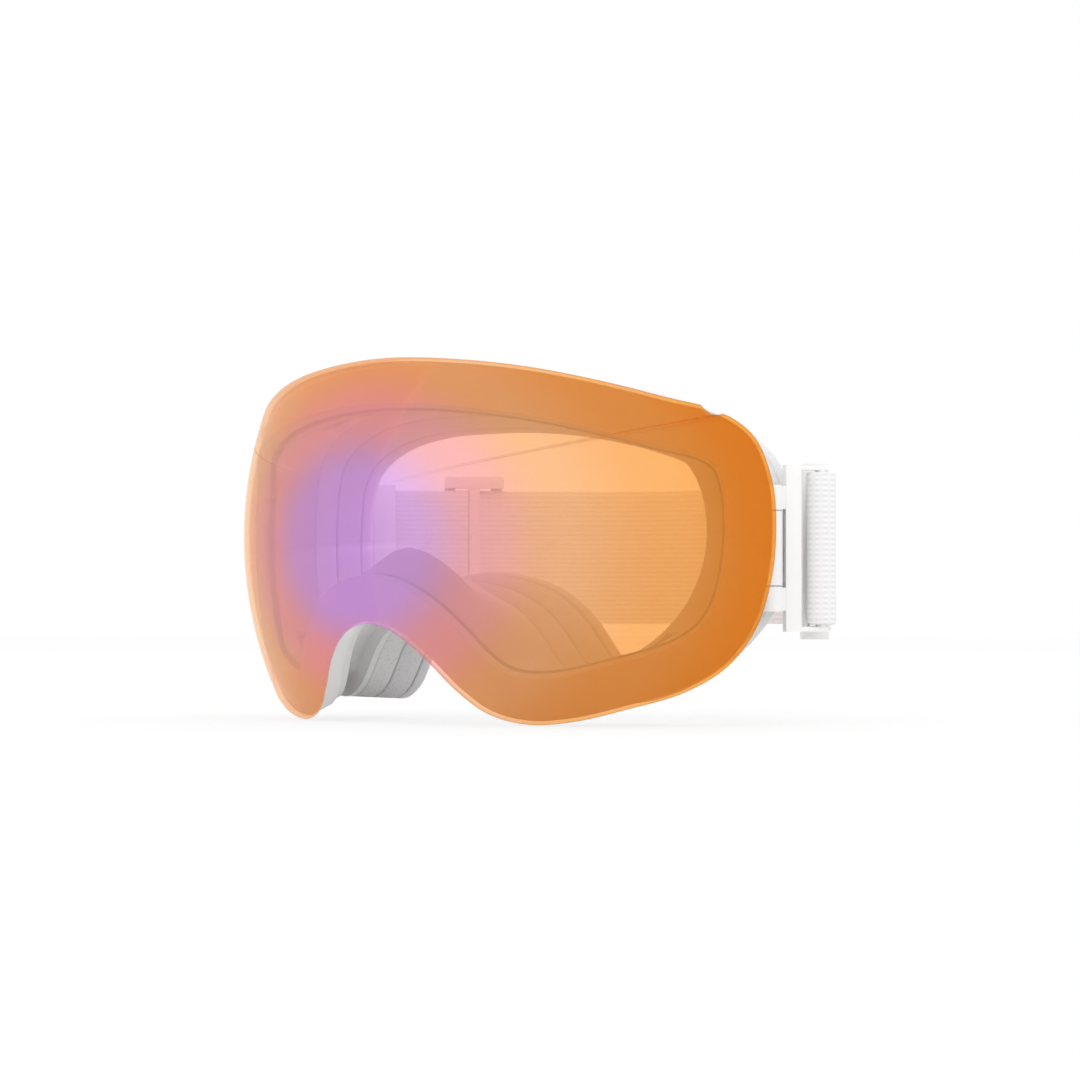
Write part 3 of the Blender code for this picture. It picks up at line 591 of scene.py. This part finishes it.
@dataclass
class LensAssembly:
    """Outer and inner lens with the spacer foam and the carrier ring between and behind them."""

    palette: Palette
    edge: Outline = field(default_factory=lambda: Outline(LENS_EDGE, 108.5 * MM, 44.3 * MM, 49.3 * MM))
    outer_wall: float = 1.4 * MM
    air_gap: float = 4.0 * MM
    inner_wall: float = 1.0 * MM
    inner_inset: float = 8.0 * MM
    opening_inset: float = 12.0 * MM
    carrier_start: float = 0.6 * MM
    carrier_end: float = 7.5 * MM
    seam: float = 0.3 * MM
    notch_radius: float = 4.0 * MM
    notch_depth: float = 1.2 * MM
    notch_share: float = 0.872
    grid_rows: int = 30
    pole: Vector = field(default_factory=lambda: Vector((0, 10 * MM)))

    def outline(self, distance: float, notched: bool) -> list[Vector]:
        """Flat loop of a lens sheet's edge, with the finger notches bitten out if notched is set."""
        loop = smooth_loop(self.edge.half(distance), LOOP_STEPS)
        if not notched:
            return loop
        across = self.notch_share * self.edge.half_width
        upper = [p for p in loop if p.y > 0]
        for side in (1, -1):
            near = min(upper, key=lambda p: abs(p.x - side * across))
            middle = Vector((side * across, near.y + self.notch_radius - self.notch_depth))
            for i, point in enumerate(loop):
                away = point - middle
                if away.length < self.notch_radius:
                    loop[i] = middle + away.normalized() * self.notch_radius
        return loop

    def sheet(self, name: str, distance: float, front: float, wall: float, notched: bool) -> bpy.types.Object:
        """Closed lens sheet: a front skin and a back skin that meet round a soft rim.

        Args:
            name: name of the piece.
            distance: how far the sheet's edge lies inside the outer lens's edge.
            front: radius of the front skin.
            wall: thickness.
            notched: whether it has the finger notches.

        Returns:
            The new object.
        """
        flat = self.outline(distance, notched)
        scales = [1 - (1 - k / self.grid_rows) for k in range(self.grid_rows)]
        soft = wall * 0.35
        rings = []
        for scale in scales:
            rings.append([on_sphere(self.pole.lerp(p, scale), front) for p in flat])
        inner_rim = [self.pole + (p - self.pole) * (1 - soft / (p - self.pole).length) for p in flat]
        rings.append([on_sphere(p, front) for p in inner_rim])
        rings.append([on_sphere(p, front - soft) for p in flat])
        rings.append([on_sphere(p, front - wall + soft) for p in flat])
        rings.append([on_sphere(p, front - wall) for p in inner_rim])
        for scale in reversed(scales):
            rings.append([on_sphere(self.pole.lerp(p, scale), front - wall) for p in flat])
        return loft(name, rings, closed=False, poles=True)

    def band(self, name: str, corners: list[tuple[float, float]], soft: float) -> bpy.types.Object:
        """Ring with a section given by its corners' insets and radii, and soft edges."""
        rings = [
            smooth_loop([on_sphere(p, radius) for p in self.edge.half(inset)], LOOP_STEPS)
            for inset, radius in corners
        ]
        return loft(name, rounded(rings, [soft] * len(rings)), closed=True)

    def build(self) -> None:
        """Makes and dresses the lens's pieces."""
        paint = self.palette
        outer = self.sheet("outer_lens_sheet", 0, LENS_RADIUS, self.outer_wall, True)
        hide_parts("outer_lens")
        dress(outer, paint.outer_lens, "lens")
        inner_front = LENS_RADIUS - self.outer_wall - self.air_gap
        inner = self.sheet("inner_lens_sheet", self.inner_inset, inner_front, self.inner_wall, False)
        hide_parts("inner_lens")
        dress(inner, paint.inner_lens, "lens")
        carrier_front = LENS_RADIUS - self.outer_wall - self.seam
        carrier_back = inner_front - self.inner_wall + 0.1 * MM
        spacer_edges = (self.carrier_end + self.seam, self.opening_inset)
        corners = [
            (spacer_edges[0], carrier_front), (spacer_edges[1], carrier_front),
            (spacer_edges[1], inner_front + self.seam), (spacer_edges[0], inner_front + self.seam),
        ]
        spacer = self.band("spacer_foam_ring", corners, 0.4 * MM)
        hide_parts("lens_spacer")
        dress(spacer, paint.spacer, "lens")
        tape = self.seam / 6
        corners = [
            (self.carrier_start, carrier_front + 5 * tape), (self.opening_inset, carrier_front + 5 * tape),
            (self.opening_inset, carrier_front + tape), (self.carrier_start, carrier_front + tape),
        ]
        gasket = self.band("lens_gasket_tape", corners, tape)
        dress(gasket, paint.gasket, "lens")
        carrier = softened("lens_carrier", 0.5 * MM, 2)
        dress(carrier, paint.hard, "lens")
        for i in range(1, 7):
            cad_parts[f"steel_disc_{i}"].data.materials[0] = paint.steel
            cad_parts[f"magnet_{i}"].data.materials[0] = paint.steel


# ---------------------------------------------------------------- frame and foam

@dataclass
class FaceFoam:
    """Three layers of face foam behind the frame's back flange, the last one covered with fleece."""

    palette: Palette
    edge: Outline = field(default_factory=lambda: Outline(BACK_EDGE, 75.3 * MM, 39 * MM, 41.6 * MM))
    back_front_y: float = -74 * MM
    face_radius: float = 120 * MM
    flange_width: float = 7.0 * MM
    width_top: float = 14 * MM
    width_cheek: float = 10.5 * MM
    flare: float = 1.0 * MM
    seam: float = 0.3 * MM
    layers: tuple[tuple[str, float, float], ...] = (
        ("foam_base", 7.5 * MM, 0.8 * MM), ("foam_middle", 8.5 * MM, 0.9 * MM), ("foam_face", 4.4 * MM, 2.2 * MM),
    )

    def on_face(self, point: Vector, depth: float) -> Vector:
        """Place on the curve that follows the face, depth behind the back flange."""
        sag = self.face_radius - math.sqrt(self.face_radius**2 - point.x**2)
        return CENTRE + Vector((point.x, self.back_front_y + sag + depth, point.y))

    def loop(self, distance: float | list[float], depth: float) -> list[Vector]:
        """Fine loop at one inset and depth."""
        return smooth_loop([self.on_face(p, depth) for p in self.edge.half(distance)], LOOP_STEPS)

    def build(self) -> None:
        """Makes and dresses the three layers."""
        height = self.edge.top + self.edge.drop
        lows = [(self.edge.top - p.y) / height for p in self.edge.half()]
        cheek = [min(1.0, max(0.0, low * 1.4 - 0.2)) for low in lows]
        wide = [self.width_top + (self.width_cheek - self.width_top) * c for c in cheek]
        total = sum(thickness for _, thickness, _ in self.layers)
        start = 0.0
        looks = {
            "foam_base": (self.palette.base_foam, "base_foam"),
            "foam_middle": (self.palette.face_foam, "face_foam"),
            "foam_face": (self.palette.fleece, "fleece"),
        }
        for name, thickness, soft in self.layers:
            near, far = start / total, (start + thickness) / total
            inner = [[self.flange_width + (w - self.flange_width) * s for w in wide] for s in (near, far)]
            front, back = start + self.seam, start + thickness
            rings = [
                self.loop(-self.flare * near, front), self.loop(inner[0], front),
                self.loop(inner[1], back), self.loop(-self.flare * far, back),
            ]
            layer = loft(name + "_layer", rounded(rings, [0.6 * MM, 0.6 * MM, soft, soft]), closed=True)
            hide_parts(name)
            dress(layer, looks[name][0], "frame")
            start += thickness


@dataclass
class FrameShell:
    """The white frame with its vent foams."""

    palette: Palette

    def build(self) -> None:
        """Makes and dresses the frame and the vent foams."""
        shell = softened("frame", 0.4 * MM, 2)
        shell.data.set_sharp_from_angle(angle=math.radians(38))
        dress(shell, self.palette.frame, "frame")
        for label in ("top", "left", "right"):
            strip = softened(f"vent_foam_{label}", 0.3 * MM, 2)
            dress(strip, self.palette.face_foam, "frame")


# ---------------------------------------------------------------- strap and hardware

@dataclass
class Strap:
    """One side of the elastic strap: from the back's middle to the outrigger's bar, round it and into the keeper."""

    palette: Palette
    side: Side
    angle: float = math.radians(48.7)
    width: float = 37 * MM
    wall: float = 1.8 * MM
    seam: float = 0.3 * MM
    bar_radius: float = 1.5 * MM
    bar_reach: float = 12.9 * MM
    bar_angle: float = math.radians(54.5)
    straight: float = 70 * MM
    keeper_at: float = 20 * MM
    slider_at: float = 45 * MM
    slider_bar: float = 3.0 * MM
    back_flat: float = 8.0 * MM

    def __post_init__(self) -> None:
        """Places the bar and the strap's directions."""
        low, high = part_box("hinge_pin_left")
        hinge = (low + high) / 2
        self.middle_z = hinge.z
        self.bar = Vector((hinge.x, hinge.y)) + self.bar_reach * Vector(
            (math.cos(self.bar_angle), math.sin(self.bar_angle))
        )
        self.along = Vector((-math.cos(self.angle), math.sin(self.angle)))
        self.outward = Vector((math.sin(self.angle), math.cos(self.angle)))
        self.layer = (self.wall + self.seam) / 2

    def at(self, distance: float, offset: float) -> Vector:
        """Plan point beside the straight middle line, distance from the bar, on the left side."""
        return self.bar + self.along * distance + self.outward * offset

    def ribbon(self, name: str, path: list[Vector]) -> bpy.types.Object:
        """Band of webbing along a plan path on the left side, mirrored to this side.

        Args:
            name: name of the piece.
            path: plan points of the band's middle surface.

        Returns:
            The new object, with its strap_place attribute.
        """
        sections, places = [], []
        half, wall = self.width / 2, self.wall / 2
        edge = wall * 0.8
        bends = [math.pi * k / 6 for k in range(1, 6)]
        profile = [(-half + edge + (self.width - 2 * edge) * k / 24, 1) for k in range(25)]
        profile += [(half - edge * (1 - math.sin(a)), math.cos(a)) for a in bends]
        profile += [(half - edge - (self.width - 2 * edge) * k / 24, -1) for k in range(25)]
        profile += [(-half + edge * (1 - math.sin(a)), -math.cos(a)) for a in bends]
        run = 0.0
        for i, point in enumerate(path):
            before, after = path[max(i - 1, 0)], path[min(i + 1, len(path) - 1)]
            run += (point - path[i - 1]).length if i else 0.0
            ahead = (after - before).normalized()
            out = Vector((ahead.y, -ahead.x))
            ring = []
            for z, share in profile:
                spot = point + out * (share * wall)
                ring.append(Vector((spot.x * self.side.value, spot.y, self.middle_z + z)))
                places.append((run, z, 0.0))
            sections.append(ring)
        made = loft(name, sections, closed=False, ends=True)
        layer = made.data.attributes.new("strap_place", "FLOAT_VECTOR", "POINT")
        layer.data.foreach_set("vector", [c for place in places for c in place])
        made.data.set_sharp_from_angle(angle=math.radians(60))
        return made

    def build(self) -> None:
        """Makes and dresses the strap's half and its tail."""
        label = self.side.label
        bend = (self.bar.x + self.along.x * self.straight - self.back_flat) / math.sin(self.angle)
        arc_centre = self.at(self.straight, 0) - self.outward * bend
        path = [Vector((0, arc_centre.y + bend + self.layer))]
        turns = 48
        for i in range(turns + 1):
            angle = self.angle * i / turns
            path.append(arc_centre + Vector((math.sin(angle), math.cos(angle))) * (bend + self.layer))
        stretches = 30
        for i in range(1, stretches):
            reach = self.straight + (self.keeper_at * 0.55 - self.straight) * i / stretches
            path.append(self.at(reach, self.layer))
        wrap = self.bar_radius + self.seam + self.wall / 2
        path.append(self.at(self.keeper_at * 0.55, self.layer))
        for i in range(15):
            angle = math.pi * i / 14
            turned = self.outward * math.cos(angle) - self.along * math.sin(angle)
            path.append(self.bar + turned * wrap)
        path += [self.at(self.keeper_at * 0.55, -self.layer), self.at(self.keeper_at - self.seam / 2, -self.layer)]
        band = self.ribbon(f"strap_{label}", path)
        nodes = [f"strap_loop_{label}"] + (["strap_back"] if self.side is Side.LEFT else [])
        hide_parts(*nodes)
        dress(band, self.palette.webbing, None)
        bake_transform(band)
        tail_end = self.slider_at - self.slider_bar / 2 - self.seam
        tail_path = [
            self.at(self.keeper_at + self.seam / 2 + (tail_end - self.keeper_at) * k / 20, -self.layer)
            for k in range(21)
        ]
        tail = self.ribbon(f"strap_tail_band_{label}", tail_path)
        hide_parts(f"strap_tail_{label}")
        dress(tail, self.palette.webbing, None)
        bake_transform(tail)


@dataclass
class Hardware:
    """One side's outrigger, hinge pin, keeper and slider."""

    palette: Palette
    side: Side

    def build(self) -> None:
        """Makes and dresses the hard pieces."""
        label = self.side.label
        for name, body, width in (
            (f"outrigger_{label}", f"outrigger_{label}", 0.6 * MM),
            (f"strap_keeper_{label}", f"keeper_{label}", 0.45 * MM),
            (f"slider_{label}", f"slider_{label}", 0.5 * MM),
        ):
            dress(softened(name, width), self.palette.hard, body)
        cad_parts[f"hinge_pin_{label}"].data.materials[0] = self.palette.steel


# ---------------------------------------------------------------- studio

def seen_directly(tree: bpy.types.NodeTree) -> bpy.types.NodeSocket:
    """1 for rays from the camera, from gloss and through clear surfaces, and 0 for the light on the object."""
    seen = node(tree, "ShaderNodeLightPath").outputs
    glossy = node(
        tree, "ShaderNodeMath", {0: seen["Is Camera Ray"], 1: seen["Is Glossy Ray"]}, operation="MAXIMUM"
    ).outputs[0]
    return node(
        tree, "ShaderNodeMath", {0: glossy, 1: seen["Is Transmission Ray"]}, operation="MAXIMUM"
    ).outputs[0]


SKY_STRENGTH = 1.04
SOFT_BOXES = (  # name, place in metres, side in metres, watts
    ("key_box", (0.8, -1.1, 1.1), 1.2, 3.6),
    ("fill_box", (-1.2, -0.5, 0.8), 1.4, 0.9),
    ("low_box", (-0.8, -1.0, 0.15), 0.5, 4.0),
    ("back_box", (-0.7, 1.1, 1.0), 1.2, 1.5),
)


@dataclass
class Studio:
    """Pale floor, soft light and the camera."""

    azimuth: float = math.radians(40.8)
    elevation: float = math.radians(-1.3)
    distance: float = 0.935
    lens_mm: float = 116.7
    shift_x: float = -0.0886
    shift_y: float = -0.0023

    def backdrop(self) -> bpy.types.Material:
        """Matt white floor, nearly plain white to the camera and in reflections, with its shadow."""
        made = blank("pale_floor_paint")
        tree = made.node_tree
        paint = node(tree, "ShaderNodeBsdfDiffuse", {0: linear("#F4F4F4")}).outputs[0]
        plain = node(tree, "ShaderNodeEmission", {0: (1, 1, 1, 1), 1: 1.0}).outputs[0]
        share = node(tree, "ShaderNodeMath", {0: seen_directly(tree), 1: 0.8}, operation="MULTIPLY").outputs[0]
        both = node(tree, "ShaderNodeMixShader", {0: share, 1: paint, 2: plain})
        node(tree, "ShaderNodeOutputMaterial", {0: both.outputs[0]})
        return made

    def build(self) -> None:
        """Makes the floor, the world, the lamps and the camera."""
        scene = bpy.context.scene
        scene.view_settings.view_transform = "Standard"
        bm = bmesh.new()
        bmesh.ops.create_grid(bm, x_segments=1, y_segments=1, size=3)
        mesh = bpy.data.meshes.new("floor")
        bm.to_mesh(mesh)
        bm.free()
        floor = bpy.data.objects.new("floor", mesh)
        floor.location.z = -0.2 * MM
        scene.collection.objects.link(floor)
        mesh.materials.append(self.backdrop())
        self.world(scene)
        self.lamps(scene)
        self.camera(scene)

    def world(self, scene: bpy.types.Scene) -> None:
        """Soft white sky, and plain white to the camera and in reflections."""
        world = bpy.data.worlds.new("studio")
        world.use_nodes = True
        tree = world.node_tree
        tree.nodes.clear()
        light = node(tree, "ShaderNodeBackground", {0: (1, 1, 1, 1), 1: SKY_STRENGTH})
        plain = node(tree, "ShaderNodeBackground", {0: (1, 1, 1, 1), 1: 1.0})
        both = node(
            tree, "ShaderNodeMixShader", {0: seen_directly(tree), 1: light.outputs[0], 2: plain.outputs[0]}
        )
        node(tree, "ShaderNodeOutputWorld", {0: both.outputs[0]})
        scene.world = world

    def lamps(self, scene: bpy.types.Scene) -> None:
        """Large soft boxes in front, one low one for the nose, and one behind that lights the inside."""
        for name, place, size, power in SOFT_BOXES:
            lamp = bpy.data.lights.new(name, "AREA")
            lamp.size = size
            lamp.energy = power
            made = bpy.data.objects.new(name, lamp)
            made.visible_glossy = False
            made.location = place
            made.rotation_euler = (CENTRE - Vector(place)).to_track_quat("-Z", "Y").to_euler()
            scene.collection.objects.link(made)

    def camera(self, scene: bpy.types.Scene) -> None:
        """Camera at the goggles' three-quarter view."""
        lens = bpy.data.cameras.new("camera")
        lens.lens = self.lens_mm
        lens.sensor_width = 36
        lens.shift_x = self.shift_x
        lens.shift_y = self.shift_y
        made = bpy.data.objects.new("camera", lens)
        back = Vector((
            math.sin(self.azimuth) * math.cos(self.elevation),
            -math.cos(self.azimuth) * math.cos(self.elevation),
            math.sin(self.elevation),
        ))
        made.location = CENTRE + back * self.distance
        made.rotation_euler = back.to_track_quat("Z", "Y").to_euler()
        scene.collection.objects.link(made)
        scene.camera = made


def main() -> None:
    """Builds the studio and the goggles."""
    logging.basicConfig(level=logging.INFO, format="%(message)s")
    Studio().build()
    palette = Palette()
    LensAssembly(palette).build()
    FrameShell(palette).build()
    FaceFoam(palette).build()
    for side in Side:
        Hardware(palette, side).build()
        Strap(palette, side).build()


if __name__ == "__main__":
    main()
